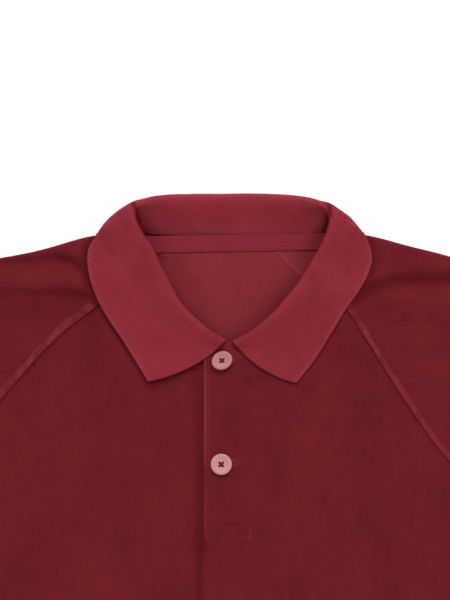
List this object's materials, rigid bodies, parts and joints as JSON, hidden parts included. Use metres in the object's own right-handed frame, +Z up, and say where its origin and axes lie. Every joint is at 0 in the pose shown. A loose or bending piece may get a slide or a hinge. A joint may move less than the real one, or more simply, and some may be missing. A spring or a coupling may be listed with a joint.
{
  "type": "polo shirt",
  "caption": "Short-sleeved raglan polo shirt in soft burgundy pile knit with a ribbed turn-down collar and a buttoned placket, laid flat on its back.",
  "frame": {"origin": "middle of the laid shirt's plan, on the surface that it lies on", "axes": "+X to the viewer's right, along the span of the sleeves; +Y towards the neck; +Z up, out of the front"},
  "size_m": [0.82, 0.7262, 0.023],
  "materials": {
    "body_knit": "matte short pile",
    "collar_rib": "matte fine rib",
    "neck_tape": "matte herringbone",
    "button": "satin"
  },
  "bodies": {
    "root": {"front": "body_knit", "back": "body_knit", "sleeve_left": "body_knit", "sleeve_right": "body_knit", "collar": "collar_rib", "placket_top": "body_knit", "placket_under": "body_knit", "neck_tape": "neck_tape", "button_1": "button", "button_2": "button"}
  },
  "joints": []
}
